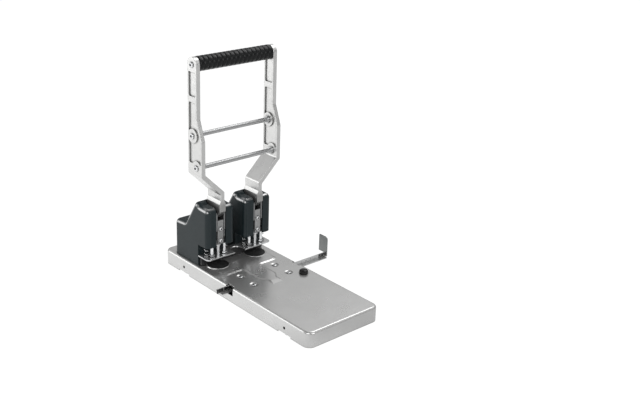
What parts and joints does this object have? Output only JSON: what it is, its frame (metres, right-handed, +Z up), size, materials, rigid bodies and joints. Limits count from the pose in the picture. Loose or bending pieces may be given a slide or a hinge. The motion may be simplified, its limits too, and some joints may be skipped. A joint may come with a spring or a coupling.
{
  "type": "heavy-duty two-hole lever punch",
  "caption": "Desk hole punch: upright bail lever with a ribbed grip drives punch heads over a long flat base, with a sliding paper guide and turning cutting discs.",
  "frame": {"origin": "on the desk plane under the rubber feet, at the middle of the whole object's box with the paper guide at rest; the point midway between the two punch axes is 26.65 mm to the left of it and 80.98 mm behind it", "axes": "+Z up; +X to the operator's right along the front edge; +Y to the rear, away from the operator"},
  "size_m": [0.246, 0.386, 0.3951],
  "materials": {
    "base_silver": "satin",
    "zinc_plate": "satin",
    "bright_steel": "satin",
    "chrome": "gloss",
    "polished_steel": "gloss",
    "dark_zinc": "satin",
    "arm_silver": "satin",
    "frame_black": "satin",
    "ram_steel": "satin",
    "bronze": "satin",
    "cover_dark": "satin",
    "disc_black": "satin",
    "grip_black": "satin",
    "foot_rubber": "matte",
    "knob_black": "gloss"
  },
  "bodies": {
    "base": {"base_shell": "base_silver", "anvil_plate": "zinc_plate", "bottom_cover": "zinc_plate", "bottom_posts": "zinc_plate", "bottom_screws": "dark_zinc", "rubber_feet": "foot_rubber", "guide_channel": "zinc_plate", "channel_screws": "chrome", "channel_nuts": "dark_zinc", "clamp_finger": "zinc_plate", "clamp_nut": "dark_zinc", "frame_bolts": "dark_zinc", "frame_nuts": "dark_zinc", "cover_screws": "dark_zinc", "stripper_plate": "bright_steel", "back_stop": "bright_steel", "stop_screws": "chrome", "pivot_clips": "chrome", "head_frame_left": "frame_black", "head_cover_left": "cover_dark", "guide_posts_left": "chrome", "pivot_shaft_left": "chrome", "return_springs_left": "polished_steel", "head_frame_right": "frame_black", "head_cover_right": "cover_dark", "guide_posts_right": "chrome", "pivot_shaft_right": "chrome", "return_springs_right": "polished_steel"},
    "lever": {"arm_left": "arm_silver", "arm_right": "arm_silver", "grip_core": "polished_steel", "grip_sleeve": "grip_black", "rod_upper": "polished_steel", "rod_lower": "polished_steel", "grip_bolts": "chrome", "rod_bolts": "chrome", "hub_bushes_left": "bronze", "hub_bushes_right": "bronze", "crank_pin_left": "chrome", "crank_pin_right": "chrome"},
    "ram_left": {"ram_left": "ram_steel", "link_bar_left": "bright_steel", "ram_bolts_left": "chrome", "ram_bushes_left": "bronze", "punch_left": "polished_steel"},
    "ram_right": {"ram_right": "ram_steel", "link_bar_right": "bright_steel", "ram_bolts_right": "chrome", "ram_bushes_right": "bronze", "punch_right": "polished_steel"},
    "disc_left": {"cutting_disc_left": "disc_black"},
    "disc_right": {"cutting_disc_right": "disc_black"},
    "paper_guide": {"guide_rail": "bright_steel"},
    "lock_knob": {"guide_knob": "knob_black", "knob_screw": "dark_zinc"}
  },
  "joints": [
    {"name": "lever_pivot", "type": "hinge", "parent": "base", "child": "lever", "pos_m": [-0.02665, 0.09712, 0.11335], "axis": [1, 0, 0], "range_deg": [0, 60], "stiffness_Nm_per_rad": 2, "springref_deg": -28.65},
    {"name": "ram_left_slide", "type": "slide", "parent": "base", "child": "ram_left", "axis": [0, 0, -1], "range_m": [0, 0.0173], "deforming": ["return_springs_left"]},
    {"name": "ram_right_slide", "type": "slide", "parent": "base", "child": "ram_right", "axis": [0, 0, -1], "range_m": [0, 0.0173], "deforming": ["return_springs_right"]},
    {"name": "disc_left_turn", "type": "hinge", "parent": "base", "child": "disc_left", "pos_m": [-0.06665, 0.08098, 0.0255], "axis": [0, 0, 1], "continuous": true},
    {"name": "disc_right_turn", "type": "hinge", "parent": "base", "child": "disc_right", "pos_m": [0.01335, 0.08098, 0.0255], "axis": [0, 0, 1], "continuous": true},
    {"name": "guide_slide", "type": "slide", "parent": "base", "child": "paper_guide", "axis": [1, 0, 0], "range_m": [-0.06, 0.04]},
    {"name": "knob_turn", "type": "hinge", "parent": "base", "child": "lock_knob", "pos_m": [0.02905, -0.03272, 0.0306], "axis": [0, 0, 1], "range_deg": [0, 90]}
  ],
  "couplings": [
    {"joint": "ram_left_slide", "follows": "lever_pivot", "m_per_rad": 0.01652},
    {"joint": "ram_right_slide", "follows": "lever_pivot", "m_per_rad": 0.01652}
  ]
}
